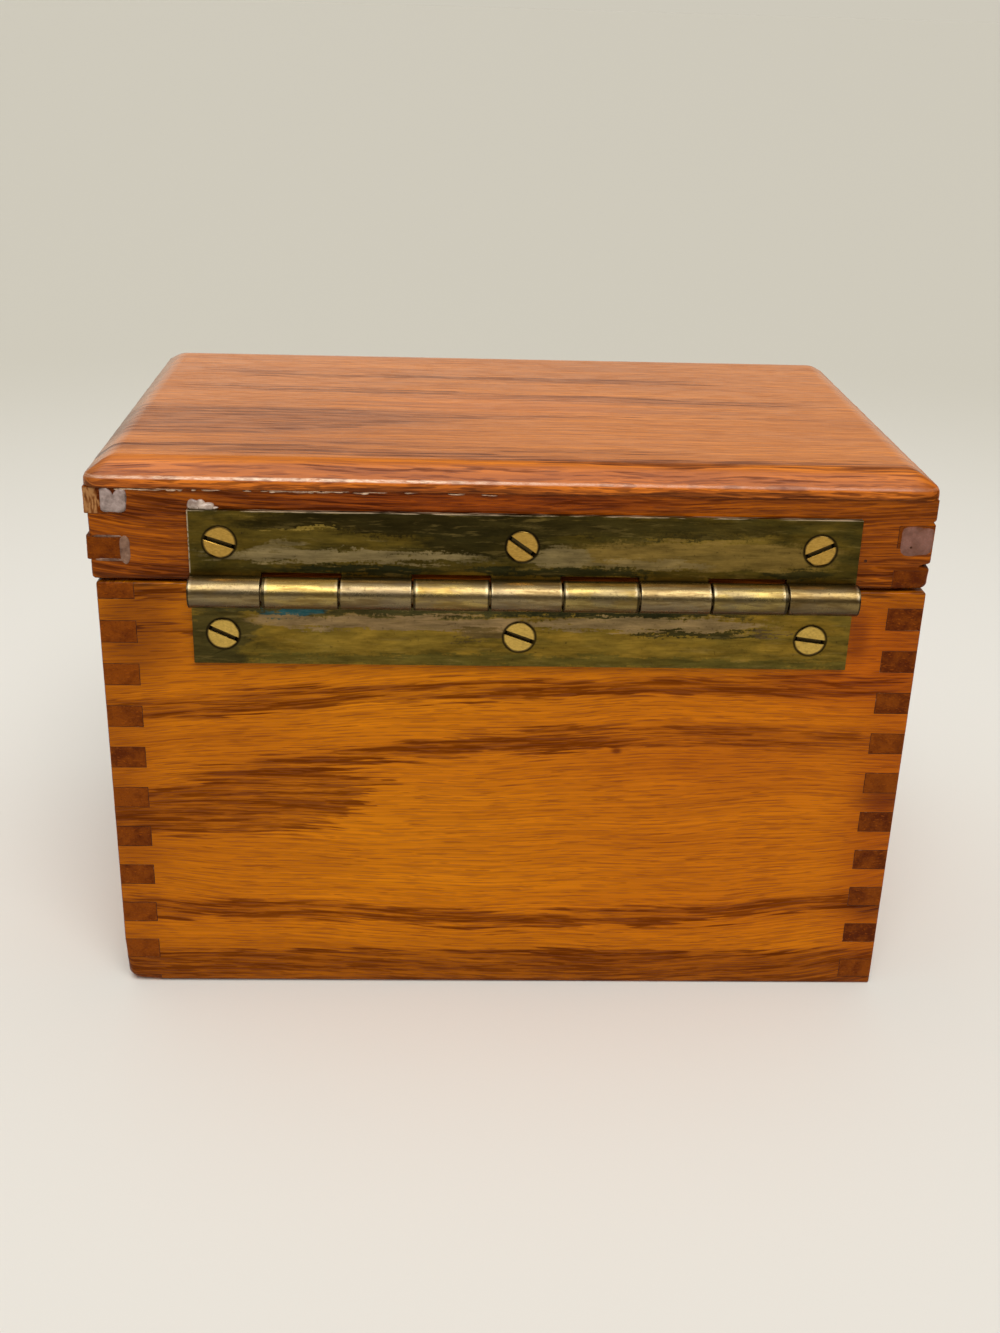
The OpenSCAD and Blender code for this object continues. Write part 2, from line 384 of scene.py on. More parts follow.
def oak(name, along, across, features=(), flow=(), rings=None, seed=0.0, light=OAK_LIGHT,
        mid=OAK_MID, dark=OAK_DARK, gloss=0.1, shades=(), stretch=1.2, tick=1.5, depth=0.92,
        calm=0.45, lines=(18.0, 0.36, 0.42), seam_darkening=None, painted_edge_light=None, highlight_and_wear=None):
    """Stained oak under varnish. along and across are the axes (0, 1, 2) that the grain runs
    along and across. features are Bands and Patches on the board's face; flow is two of their
    lines with the heights where they count, which the single pores follow. stretch makes the
    fibres longer and tick the pores; depth is how dark the crowded parts are, and calm how
    little they fade in their gaps. lines is the length, width and strength of faint lines all
    over. shades, painted_edge_light, seam_darkening and highlight_and_wear go to the four
    functions above. Some shades are painted shade; painted_edge_light is painted light,
    seam_darkening painted shade with dirt, and highlight_and_wear a painted highlight with wear."""
    m = Material(name)
    grain = Grain(m, along, across, flow, seed, stretch, tick)
    dense = grain.crowding(features, rings, calm)
    wisps = grain.fibres(5.5, 0.34, 1.3, 2.0)
    fine = grain.fibres(*lines[:2], 5.9)
    broad = grain.fibres(60.0, 5.0, 9.4, 2.0)
    short = m.add(grain.dashes(5.0, 0.45, 31.0), 0.06)
    dash = m.math("MINIMUM", grain.dashes(8.0, 0.62, 0.0), short)

    # Single pores in the pale wood, crowded streaks in the bands
    limit = m.span(dense, 0.0, 1.0, 0.65, 0.46)
    streak = m.step(wisps, m.sub(limit, 0.02), m.add(limit, 0.03))
    reach = m.span(dense, 0.0, 1.0, 0.235, 0.37)
    pores = m.step(dash, reach, m.sub(reach, 0.07))

    tones = scaled(light, 1.06), scaled(light, 0.90, 0.86, 0.8)
    base = m.mix(m.span(broad, 0.35, 0.65), *tones)
    base = m.coat(base, mid, dense, depth)
    base = m.mix(m.span(fine, 0.35, 0.65, 0.0, lines[2]), base, mid)
    pore_tone = m.mix(dense, scaled(mid, 0.85, 0.80, 1.0), dark)
    base = m.coat(base, pore_tone, streak, m.span(dense, 0.0, 1.0, 0.6, 0.62))
    base = m.coat(base, pore_tone, pores, m.span(dense, 0.0, 1.0, 0.45, 0.58))
    base = shaded(m, grain, base, shades)
    # painted light on the top board's upright edge
    if painted_edge_light:
        base = upright_edge(m, grain, base, dark, painted_edge_light)
    # painted shade with some dirt along a seam
    if seam_darkening:
        base = seam_shade_and_dirt(m, grain, base, *seam_darkening)
    # painted highlight with some wear on the back arris
    if highlight_and_wear:
        base = arris_highlight_and_wear(m, grain, base, *highlight_and_wear)

    # Open pores, the upright edge and the top's dull end reflect less
    gloss = m.span(m.mul(streak, dense), 0.0, 1.0, gloss, gloss * 0.25)
    if painted_edge_light:
        gloss = m.mul(gloss, m.span(m.z, painted_edge_light[1], painted_edge_light[0] + 0.3, 0.2, 1.0))
        gloss = m.mul(gloss, m.span(m.x, *DULL_END, 0.05, 1.0))
    m.set(Base_Color=base, IOR=1.5, Specular_IOR_Level=gloss)
    m.set(Roughness=m.span(pores, 0.0, 1.0, 0.20, 0.34))
    swell = m.mul(m.cloud(0.07, 1.0), 4.0)
    m.set(Normal=m.bump(m.sub(swell, m.mul(dash, -0.4)), 0.05, 0.6))
    return m.mat


def end_grain(name, seed=0.0, deep=(0.086, 0.0145, 0.001), pale=(0.21, 0.047, 0.002),
              chip=None):
    """End grain of the fingers: darker and redder, with fine pits, each finger in its own
    tone. chip is (x, z) beyond which the corner at the back is broken down to bare wood."""
    m = Material(name)
    row = m.math("FLOOR", m.div(m.sub(m.z, FIRST_FINGER), FINGER_W))
    side = m.step(m.x, -1.0, 1.0)
    finger = m.vector(m.add(row, seed), side, 0.0)
    tone = m.new("TexWhiteNoise", finger, noise_dimensions="2D").outputs["Value"]
    place = m.vmath("ADD", m.place, (seed * 7.0, seed * 3.0, seed * 5.0))
    blotch = m.noise(m.scale(place, 0.45), 3.0, 0.65)
    pits = m.cells(m.scale(place, 2.6))
    rays = m.noise(m.vmath("MULTIPLY", place, (1.4, 1.4, 5.0)), 2.0)
    amount = m.add(m.span(blotch, 0.35, 0.65, 0.0, 0.8), m.mul(m.sub(tone, 0.45), 0.8))
    colour = m.mix(m.add(amount, m.mul(side, 0.22), clamp=True), deep, pale)
    colour = m.coat(colour, scaled(pale, 1.6), m.step(rays, 0.60, 0.70), 0.5)
    colour = m.coat(colour, scaled(deep, 0.5), m.step(pits, 0.30, 0.12), 0.4)
    if chip:
        rough_x = m.add(m.x, m.mul(m.sub(blotch, 0.5), 4.0))
        bare = m.mul(m.step(rough_x, chip[0] - 0.3, chip[0] + 0.3),
                     m.step(m.z, chip[1] - 0.2, chip[1] + 0.2),
                     m.step(m.y, *CHIP_BACK))
        strokes = m.noise(m.vmath("MULTIPLY", place, (2.0, 2.0, 0.6)), 2.0)
        splinter = m.mix(m.step(strokes, 0.38, 0.58), (0.18, 0.058, 0.014), (0.42, 0.20, 0.070))
        colour = m.coat(colour, splinter, bare, 0.9)
    m.set(Base_Color=colour, IOR=1.5, Specular_IOR_Level=0.05)
    m.set(Roughness=m.span(blotch, 0.3, 0.7, 0.25, 0.42))
    m.set(Normal=m.bump(m.add(pits, rays), 0.08, 0.7))
    return m.mat


def joint_line(name):
    """The thin line of glue and dirt between two fingers."""
    m = Material(name)
    seam_darkening = m.cloud(0.8)
    tone = m.mix(m.span(seam_darkening, 0.35, 0.65), (0.025, 0.008, 0.003), (0.10, 0.03, 0.008))
    glue = m.step(m.cloud(0.35, 3.0, 0.7), 0.58, 0.68)
    m.set(Base_Color=m.mix(glue, tone, (0.22, 0.11, 0.055)), Specular_IOR_Level=0.1)
    m.set(Roughness=m.span(seam_darkening, 0.3, 0.7, 0.45, 0.7))
    return m.mat


# Brass
def screw_distance(m):
    """Distance in the leaf's plane to the nearest screw's axis, in millimetres."""
    x = m.math("WRAP", m.sub(m.x, SCREW_X), SCREW_PITCH / 2, -SCREW_PITCH / 2)
    up = m.math("ABSOLUTE", m.sub(m.z, AXIS_Z))
    return m.length(x, m.sub(up, SCREW_ROW))


# Stains on the leaves: middle along X, middle above the axis, half sizes, strength, colour
PINK_GREY = (0.26, 0.195, 0.088)
DEEP_GREEN = (0.020, 0.022, 0.009)
OLIVE = (0.26, 0.165, 0.024)
GOLD = (0.34, 0.23, 0.045)
UMBER = (0.10, 0.065, 0.03)
VERDIGRIS = (0.018, 0.09, 0.105)
LID_LEAF_PATCHES = [
    (15, 12, 36, 2.4, 0.9, (0.024, 0.018, 0.005)),
    (5, 9.0, 13, 3.0, 0.85, (0.028, 0.022, 0.006)),
    (36, 9.4, 10, 2.0, 0.6, (0.130, 0.088, 0.014)),
    (-32, 7.0, 24, 2.8, 0.85, (0.235, 0.150, 0.036)),
    (-33, 10.2, 12, 1.0, 0.6, (0.20, 0.13, 0.022)),
    (-22, 5.4, 12, 0.9, 0.5, PINK_GREY),
    (-20, 11.8, 26, 1.7, 0.7, (0.05, 0.037, 0.009)),
    (28, 6.1, 24, 1.2, 0.85, PINK_GREY),
    (41, 6.8, 6, 1.8, 0.6, PINK_GREY),
    (-8, 6.5, 5, 2.0, 0.7, PINK_GREY),
    (26, 3.6, 14, 0.9, 0.9, DEEP_GREEN),
    (-6, 3.8, 18, 0.8, 0.8, DEEP_GREEN),
    (-49, 4.0, 6, 1.0, 0.7, DEEP_GREEN),
    (38, 11.0, 5, 0.5, 0.6, GOLD),
    (-30, 10.2, 10, 0.4, 0.6, DEEP_GREEN),
]
BOX_LEAF_PATCHES = [
    (0, -12.9, 70, 1.1, 0.7, (0.09, 0.075, 0.016)),
    (52, -9, 7, 6.0, 0.9, (0.056, 0.045, 0.013)),
    (22, -9.4, 18, 2.2, 0.6, OLIVE),
    (-24, -9.6, 20, 2.0, 0.4, OLIVE),
    (22, -5.8, 26, 1.5, 0.85, (0.28, 0.185, 0.088)),
    (-23, -5.7, 22, 1.3, 0.85, (0.28, 0.190, 0.088)),
    (5, -7.8, 6, 1.2, 0.7, UMBER),
    (-32, -7.4, 14, 0.6, 0.85, DEEP_GREEN),
    (-45, -7.2, 3, 0.5, 0.8, UMBER),
    (10, -3.6, 50, 0.9, 0.85, (0.045, 0.045, 0.018)),
    (-20, -3.7, 20, 0.8, 0.8, DEEP_GREEN),
    (39.4, -4.1, 4.2, 0.9, 0.9, VERDIGRIS),
]


class Leaf(Material):
    """Sheet brass of the hinge, with the patterns that its colours share. up is the height
    above the axis, to_joint the distance along X to the nearest joint of two knuckles."""

    def __init__(self, name, seed):
        super().__init__(name)
        self.seed = seed
        self.up = self.sub(self.z, AXIS_Z)
        radius = self.length(0.0, self.sub(self.y, AXIS_Y), self.up)
        self.off_barrel = self.sub(radius, BARREL_R)
        self.on_barrel = self.step(self.off_barrel, 0.12, 0.02)
        along = self.sub(self.x, leaf_lo.x)
        self.to_joint = self.math("ABSOLUTE", self.math("WRAP", along, KNUCKLE / 2, -KNUCKLE / 2))
        self.tarnish = self.streaks(9.0, 3.0, 1.0, 4.0, 0.62)
        self.drag = self.streaks(6.0, 0.7, 2.0, 4.0, 0.62)
        self.fine = self.streaks(6.0, 0.16, 3.0)
        self.grit = self.cloud(1.6, 3.0, 0.7)

    def streaks(self, length, width, offset, detail=2.0, rough=0.55):
        """Noise drawn out along the leaf."""
        deep = self.add(self.div(self.z, width), offset + self.seed)
        place = self.vector(self.div(self.x, length), self.div(self.y, width), deep)
        return self.noise(place, detail, rough)


def leaf_plate(m, patches, plain_tone, dull_tone):
    """The flat part: dull and plain tones under stains with streaky edges."""
    plate = m.mix(m.span(m.tarnish, 0.38, 0.60), dull_tone, plain_tone)
    x = m.add(m.x, m.mul(m.sub(m.tarnish, 0.5), 22.0))
    warp = m.add(m.mul(m.sub(m.drag, 0.5), 4.5), m.mul(m.sub(m.grit, 0.5), 2.2))
    z = m.add(m.up, warp)
    for at_x, at_z, half_x, half_z, strength, tone in patches:
        away = m.length(m.div(m.sub(x, at_x), half_x), m.div(m.sub(z, at_z), half_z))
        plate = m.coat(plate, tone, m.step(away, 1.15, 0.75), strength)
    plate = m.coat(plate, (0.30, 0.21, 0.06), m.step(m.drag, 0.56, 0.68), 0.25)
    plate = m.coat(plate, (0.03, 0.025, 0.008), m.step(m.fine, 0.44, 0.34), 0.22)
    plate = m.coat(plate, (0.035, 0.025, 0.01), m.step(m.grit, 0.62, 0.72), 0.5)
    shade = m.span(m.streaks(7.0, 1.3, 5.0, 5.0, 0.66), 0.34, 0.66, 0.62, 1.30)
    return m.tint(plate, m.vector(shade, shade, shade))


def leaf_barrel(m, worn_tone, dull_from, dull_to, dull_factors):
    """The knuckles: brass rubbed bright, with painted shade below the axis and painted
    highlights at the upper ends of the joints; less bright beyond dull_from along X.
    """
    wear_and_painted_light = m.mix(m.step(m.drag, 0.40, 0.60), worn_tone, scaled(worn_tone, 0.6, 0.55, 0.5))
    wear_and_painted_light = m.coat(wear_and_painted_light, (0.18, 0.14, 0.085), m.step(m.tarnish, 0.45, 0.6), 0.5)
    wear_and_painted_light = m.coat(wear_and_painted_light, (0.09, 0.06, 0.03), m.step(m.grit, 0.60, 0.72), 0.5)
    # painted shade: darker below the axis
    wear_and_painted_light = m.tint(wear_and_painted_light, (0.55, 0.56, 0.62), m.step(m.up, 0.2, -1.8))
    wear_and_painted_light = m.tint(wear_and_painted_light, dull_factors, m.step(m.x, dull_from, dull_to))
    # painted highlights: pale specks at the upper ends of the knuckles
    rim = m.mul(m.step(m.to_joint, 0.9, 0.3), m.step(m.up, 0.3, 1.3), m.step(m.grit, 0.36, 0.50))
    return m.coat(wear_and_painted_light, (0.62, 0.52, 0.34), rim, 0.35)


def edge_wear_and_highlight(m, top):
    """Where the sheared edges show bare: along the top and at the lid leaf's +X end. Along the top
    it is also a painted highlight.
    """
    edge = m.mul(m.step(m.up, top - 0.22, top - 0.10), m.step(m.drag, 0.42, 0.60))
    end = m.mul(m.step(m.x, leaf_hi.x - 0.30, leaf_hi.x - 0.12), m.step(m.up, 2.6, 3.0),
                m.step(m.grit, 0.35, 0.5))
    return m.math("MAXIMUM", edge, end)


def leaf_dirt_and_shade(m, colour):
    """Dirt where the barrel meets the plate and round the screws, and painted shade with dirt in
    the joints of the knuckles.
    """
    slit = m.mul(m.step(m.to_joint, 0.34, 0.2), m.on_barrel)
    near = m.mul(m.step(m.off_barrel, 0.7, 0.05), m.step(m.y, LEAF_FACE_Y + 0.5, LEAF_FACE_Y + 0.1))
    ring = m.step(screw_distance(m), HEAD_R + 0.40, HEAD_R + 0.1)
    # painted shade with some dirt, widening the dark line of each joint
    colour = m.coat(colour, (0.012, 0.009, 0.004), slit, 0.8)
    colour = m.coat(colour, (0.02, 0.014, 0.006), near, 0.6)
    return m.coat(colour, (0.015, 0.010, 0.004), ring, 0.85)


def leaf_brass(name, patches, plain_tone, dull_tone, worn_tone, dull, top, seed):
    """Tarnished sheet brass. dull is (from X, to X, factors) for the less bright knuckles;
    top is the height of the leaf's upper edge above the axis."""
    m = Leaf(name, seed)
    plate = leaf_plate(m, patches, plain_tone, dull_tone)
    colour = m.mix(m.on_barrel, plate, leaf_barrel(m, worn_tone, *dull))
    edge = edge_wear_and_highlight(m, top)
    # bare edges, along the top also a painted highlight
    colour = m.coat(colour, (0.60, 0.47, 0.31), edge, 0.75)
    m.set(Base_Color=leaf_dirt_and_shade(m, colour), Metallic=1.0)
    rough = m.add(m.span(m.drag, 0.3, 0.7, 0.34, 0.46), m.span(m.grit, 0.5, 0.8, 0.0, 0.2))
    rough = m.add(rough, m.mul(edge, 0.2))
    m.set(Roughness=m.sub(rough, m.mul(m.on_barrel, 0.11)))
    fine = m.mul(m.fine, m.span(m.on_barrel, 0.0, 1.0, 0.25, 0.04))
    m.set(Normal=m.bump(m.add(fine, m.mul(m.tarnish, 0.25)), 0.03, 0.5))
    return m.mat


def screw_brass(name):
    """Turned brass screw head: brighter, with dirt in the slot and round the rim."""
    m = Material(name)
    swirl = m.noise(m.vmath("MULTIPLY", m.place, (2.2, 2.2, 6.0)), 3.0, 0.6)
    face = m.mix(m.step(swirl, 0.35, 0.65), (0.70, 0.45, 0.10), (0.57, 0.36, 0.075))
    face = m.coat(face, (0.30, 0.18, 0.05), m.step(m.cloud(1.1), 0.55, 0.75), 0.4)
    # the upper row darker, as on the lid leaf: tarnish with a painted darker reflection
    upper_row = m.step(m.z, AXIS_Z - 1.0, AXIS_Z + 1.0)
    face = m.tint(face, m.mix(upper_row, (0.88, 0.90, 0.94), (0.76, 0.70, 0.66)))
    rim = m.step(screw_distance(m), HEAD_R - 0.40, HEAD_R - 0.08)
    face = m.coat(face, (0.03, 0.02, 0.008), rim, 0.85)
    sunk = m.step(m.y, LEAF_FACE_Y - 0.10, LEAF_FACE_Y - 0.30)
    m.set(Base_Color=m.mix(sunk, face, (0.055, 0.038, 0.014)), Metallic=1.0)
    m.set(Roughness=m.span(swirl, 0.3, 0.7, 0.28, 0.42))
    m.set(Normal=m.bump(swirl, 0.015, 0.5))
    return m.mat


def pin_brass(name):
    m = Material(name)
    wear = m.cloud(0.9)
    m.set(Base_Color=m.mix(wear, (0.10, 0.07, 0.03), (0.25, 0.17, 0.07)), Metallic=1.0)
    m.set(Roughness=m.span(wear, 0.3, 0.7, 0.35, 0.5))
    return m.mat


def filler(name, tint, shadow):
    """Hard filler in a chipped corner: milky and glossy, clouded with a darker tone."""
    m = Material(name)
    milk = m.cloud(0.55, 3.0, 0.55)
    m.set(Base_Color=m.mix(m.span(milk, 0.38, 0.62), shadow, tint), IOR=1.5)
    m.set(Roughness=m.span(milk, 0.3, 0.7, 0.14, 0.30))
    m.set(Normal=m.bump(milk, 0.25, 0.7))
    return m.mat


def plywood(name):
    m = Material(name)
    streak = m.noise(m.vector(m.div(m.x, 30.0), m.div(m.y, 0.8), m.z), 3.0)
    broad = m.noise(m.vector(m.div(m.x, 60.0), m.div(m.y, 12.0), m.z), 2.0)
    colour = m.mix(m.span(broad, 0.3, 0.7), (0.50, 0.30, 0.12), (0.42, 0.23, 0.08))
    colour = m.coat(colour, (0.25, 0.12, 0.04), m.step(streak, 0.5, 0.65), 0.4)
    m.set(Base_Color=colour, Roughness=m.span(streak, 0.3, 0.7, 0.5, 0.65))
    m.set(Normal=m.bump(streak, 0.03, 0.5))
    return m.mat


# Meshes
def add_object(name, data):
    obj = bpy.data.objects.new(name, data)
    bpy.context.scene.collection.objects.link(obj)
    return obj


def add_mesh(name, bm, materials):
    mesh = bpy.data.meshes.new(name)
    bm.to_mesh(mesh)
    bm.free()
    for mat in materials:
        mesh.materials.append(mat)
    return add_object(name, mesh)


def new_piece(name, bm, materials, body, node=None):
    """A piece that rides on a body, with the CAD node it replaces."""
    obj = add_mesh(name, bm, materials)
    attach(obj, body)
    if node:
        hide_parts(node)
    return obj


def from_node(node):
    """A clean bmesh of a CAD node, its flat faces whole."""
    bm = bmesh.new()
    bm.from_mesh(frame["nodes"][node].data)
    bmesh.ops.remove_doubles(bm, verts=bm.verts, dist=1e-6)
    bmesh.ops.dissolve_limit(bm, angle_limit=math.radians(0.5), verts=bm.verts, edges=bm.edges)
    return bm


def split_ngons(bm):
    """Leaves no face with more than four corners."""
    bmesh.ops.triangulate(bm, faces=[f for f in bm.faces if len(f.verts) > 4])


def skin(bm, loops):
    """Closes a row of loops of points into a solid's skin."""
    count = len(loops[0])
    for below, above in zip(loops, loops[1:]):
        for i in range(count):
            j = (i + 1) % count
            bm.faces.new((below[i], below[j], above[j], above[i]))
    bm.faces.new(loops[-1])
    bm.faces.new(reversed(loops[0]))


def cut(bm, axis, place):
    """Adds a line of edges where the plane crosses the mesh."""
    normal = Vector((0, 0, 0))
    normal[axis] = 1.0
    point = normal * place
    geom = list(bm.verts) + list(bm.edges) + list(bm.faces)
    bmesh.ops.bisect_plane(bm, geom=geom, dist=1e-7, plane_co=point, plane_no=normal)


ARRIS_CUTS = [d * MM for d in (0.08, 0.2, 0.35, 0.55, 0.8, 1.2, 1.8, 2.6)]


def round_arrises(bm, low, high, radius, reach):
    """Rounds the edges of the block low..high, of which the boards are parts.
    radius(point) is the rounding there; reach is the largest."""
    for axis in range(3):
        for d in ARRIS_CUTS:
            if d <= reach:
                cut(bm, axis, low[axis] + d)
                cut(bm, axis, high[axis] - d)
    for vert in bm.verts:
        p = vert.co
        r = radius(p)
        inner = Vector(max(low[i] + r, min(high[i] - r, p[i])) for i in range(3))
        off = p - inner
        longest = max(abs(c) for c in off)
        if off.length > 1e-7 and longest > 1e-7:
            vert.co = inner + off * (longest / off.length)


def smooth(obj, angle=40.0):
    """Smooth shading with sharp edges kept, and flat faces left flat."""
    for poly in obj.data.polygons:
        poly.use_smooth = True
    obj.data.set_sharp_from_angle(angle=math.radians(angle))
    weighted = obj.modifiers.new("flat faces", "WEIGHTED_NORMAL")
    weighted.keep_sharp = True
    weighted.weight = 100


def on_plane(vert, axis, place):
    return abs(vert.co[axis] - place) < 2e-6


def finger_edges(bm, xs, z0, z1):
    """The edges of the fingers that show on the outside, without the box's own arrises."""
    ys = (-HALF_DEPTH, HALF_DEPTH)
    found = []
    for edge in bm.edges:
        if edge.calc_face_angle(0.0) < 0.5:
            continue
        a, b = edge.verts
        on_y = any(on_plane(a, 1, y) and on_plane(b, 1, y) for y in ys)
        on_x = any(on_plane(a, 0, x) and on_plane(b, 0, x) for x in xs)
        rim = any(on_plane(a, 2, z) and on_plane(b, 2, z) for z in (z0, z1))
        if (on_y != on_x) and not rim:
            found.append(edge)
    return found


def paint_end_grain(bm, along, slot):
    """Gives the faces square to the grain the end grain material."""
    for face in bm.faces:
        if face.material_index == 0 and abs(face.normal[along]) > 0.9:
            face.material_index = slot


JOINT_BEVEL = 0.06 * MM


def board(node, along, xs, low, high, radius, reach, materials, body, levels=(), dent=None):
    """One board of the box or of the lid's frame, with eased arrises and fine joint lines.
    levels are heights where chips need more points; dent(point) moves the points there."""
    bm = from_node(node)
    edges = finger_edges(bm, xs, low.z, high.z)
    bmesh.ops.bevel(bm, geom=edges, offset=JOINT_BEVEL, segments=1, affect="EDGES",
                    clamp_overlap=True, material=2)
    bm.normal_update()
    paint_end_grain(bm, along, 1)
    for z in levels:
        cut(bm, 2, z)
    round_arrises(bm, low, high, radius, reach)
    if dent:
        for vert in bm.verts:
            vert.co += dent(vert.co)
    split_ngons(bm)
    smooth(new_piece(node + "_wood", bm, materials, body, node))


def box_radius(p):
    """Rounding of the lower box: a light sanding, more at the foot on the right, rounded by wear.
    """
    foot = max(0.0, 1 - p.z / (9 * MM)) * max(0.0, 1 - (HALF_LEN - p.x) / (12 * MM))
    wear = noise.noise(p / (6 * MM)) * 0.12
    rim = max(0.0, 1 - (BOX_H - p.z) / (1.5 * MM)) * 0.1
    return (0.45 + wear + rim + foot * 2.0) * MM


# The four sides, with the axis that their grain runs along
SIDES = [("back", 0), ("front", 0), ("left", 1), ("right", 1)]


def build_box_boards(mats):
    low = Vector((-HALF_LEN, -HALF_DEPTH, 0))
    high = Vector((HALF_LEN, HALF_DEPTH, BOX_H))
    for side, along in SIDES:
        node = side + ("_side" if along else "_board")
        board(node, along, (low.x, high.x), low, high, box_radius, 2.6 * MM,
              [mats[side], mats["end"], mats["line"]], "box")


def bump_at(value, middle, width):
    """1 at the middle, falling to 0 a few widths away."""
    return math.exp(-((value - middle) / width) ** 2)


# Beyond these a point lies at the back or at an end of the lid's frame
NEAR_BACK_Y = 0.040
NEAR_END_X = 0.068


def lid_radius(p):
    """Rounding of the lid's frame: knocked about at the two corners next to the hinge."""
    wear = noise.noise(p / (5 * MM) + Vector((3, 1, 2))) * 0.15
    corner = max(0.0, 1 - (p.z - LID_Z0) / (1.5 * MM)) * 0.2
    chip = 0.0
    if p.y > NEAR_BACK_Y and p.x < -NEAR_END_X:
        chip = 0.8 * bump_at(p.z, 86.3 * MM, 0.4 * MM) + 0.6 * bump_at(p.z, 83.5 * MM, 2.2 * MM)
    if p.y > NEAR_BACK_Y and p.x > NEAR_END_X:
        ragged = abs(noise.noise(Vector((p.x, 0.0, p.z)) / (0.7 * MM)))
        chip = (0.25 + 1.4 * ragged) * bump_at(p.z, 96.2 * MM, 2.0 * MM)
        chip += 0.3 * bump_at(p.z, 89.4 * MM, 0.4 * MM)
    return (0.45 + wear + corner + chip) * MM


def lid_dent(p):
    """Bites out of the lid's corner next to the hinge's -X end."""
    near = max(0.0, 1 - (p.x + HALF_LEN) / (2.4 * MM))
    near *= max(0.0, 1 - (HALF_DEPTH - p.y) / (2.4 * MM))
    deep = 1.5 * bump_at(p.z, 86.3 * MM, 0.32 * MM) + 0.5 * bump_at(p.z, 94.2 * MM, 0.25 * MM)
    deep += 0.6 * max(0.0, 1 - (p.z - LID_Z0) / (1.2 * MM)) ** 2
    return Vector((1.0, -0.5, 0.0)) * (deep * near * MM)


CHIP_LEVELS = [(82.3 + 0.3 * k) * MM for k in range(9)]
CHIP_LEVELS += [(85.0 + 0.2 * k) * MM for k in range(12)]
CHIP_LEVELS += [(93.2 + 0.25 * k) * MM for k in range(20)]


def build_lid_frame(mats):
    low = Vector((-HALF_LEN, -HALF_DEPTH, LID_Z0))
    for side, along in SIDES:
        high = Vector((LID_X1 if along else RAIL_END_X, HALF_DEPTH, LID_Z1 + 3 * MM))
        levels = () if side == "front" else CHIP_LEVELS
        board(f"lid_{side}_rail", along, (low.x, high.x), low, high, lid_radius, 1.8 * MM,
              [mats["lid_" + side], mats["end_lid"], mats["line"]], "lid", levels, lid_dent)


# A drop's loops of points: share of its outline, share of its height
DROP_LEVELS = [(1.0, -0.6), (1.0, 0.0), (0.93, 0.5), (0.80, 0.82), (0.60, 0.95), (0.35, 1.0)]
DROP_POINTS = 26
NOTCH_AT = 1.65  # radians, near the middle of the upper edge


def add_drop(bm, middle, half, height, seed, square, notch):
    """Adds a drop of filler or glue on the lid's back: middle (x, z) and half sizes, its rim
    sunk into the wood. square shapes the outline: 2 is an ellipse; notch is the share cut out
    of its upper edge."""
    loops = []
    for share, rise in DROP_LEVELS:
        loop = []
        for k in range(DROP_POINTS):
            a = math.tau * k / DROP_POINTS
            c, s = math.cos(a), math.sin(a)
            reach = (abs(c) ** square + abs(s) ** square) ** (-1 / square)
            reach *= 1 + 0.16 * noise.noise(Vector((c * 1.3, s * 1.3, seed)))
            reach *= 1 - notch * bump_at(a, NOTCH_AT, 0.3)
            p = Vector((middle[0] + half[0] * reach * share * c, HALF_DEPTH + height * rise,
                        middle[1] + half[1] * reach * share * s))
            lumps = noise.noise(p / (1.1 * MM) + Vector((0, 0, seed)))
            p.y += height * 0.5 * max(rise, 0.0) * lumps
            loop.append(bm.verts.new(p))
        loops.append(loop)
    skin(bm, loops)


def crumbs():
    """Crumbs of old glue squeezed out of the seam under the top board, most at the +X end."""
    rng = random.Random(5)
    drops = []
    for k in range(58):
        x = 66.5 - 44 * rng.random() if k < 50 else 26 - 26 * rng.random()
        drops.append((x, 98.12 + rng.uniform(-0.22, 0.10), rng.uniform(0.3, 1.5),
                      rng.uniform(0.09, 0.22), rng.uniform(0.2, 0.36), 2.0, 0.0))
    return drops


def build_repairs(mats):
    """Filler in the chipped corners, old glue along the joints and two small dark spots."""
    # each drop: middle along X and height, half sizes, height, squareness, notch
    plan = [
        ("filler_right_corner", "tooth", [(67.8, 96.1, 2.25, 2.2, 0.40, 6.0, 0.6)]),
        ("filler_left_corner", "mauve", [(-68.7, 91.0, 2.8, 2.55, 0.08, 6.0, 0.0)]),
        ("filler_hinge_corner", "pale", [(54.0, 95.5, 1.6, 1.0, 0.40, 2.6, 0.3)]),
        ("glue_hinge_corner", "pale", [(52.3, 95.2, 1.4, 0.65, 0.55, 4.0, 0.0),
                                       (51.0, 95.0, 0.7, 0.22, 0.35, 2.0, 0.0)]),
        ("glue_finger", "haze", [(66.3, 87.4, 0.85, 2.5, 0.10, 3.0, 0.0),
                                 (68.7, 85.5, 2.8, 0.24, 0.09, 3.0, 0.0),
                                 (69.2, 89.7, 2.4, 0.20, 0.09, 3.0, 0.0)]),
        ("glue_seam", "glue", crumbs()),
        ("dark_spots", "line", [(-67.8, 89.8, 0.24, 0.24, 0.16, 2.0, 0.0),
                                (-60.2, 87.2, 0.30, 0.26, 0.03, 2.0, 0.0)]),
    ]
    for number, (name, mat, drops) in enumerate(plan):
        bm = bmesh.new()
        for k, (x, z, half_x, half_z, height, square, notch) in enumerate(drops):
            add_drop(bm, (x * MM, z * MM), (half_x * MM, half_z * MM), height * MM,
                     number * 3.0 + k, square, notch)
        bmesh.ops.recalc_face_normals(bm, faces=bm.faces)
        split_ngons(bm)
        smooth(new_piece(name, bm, [mats[mat]], "lid"), 70)


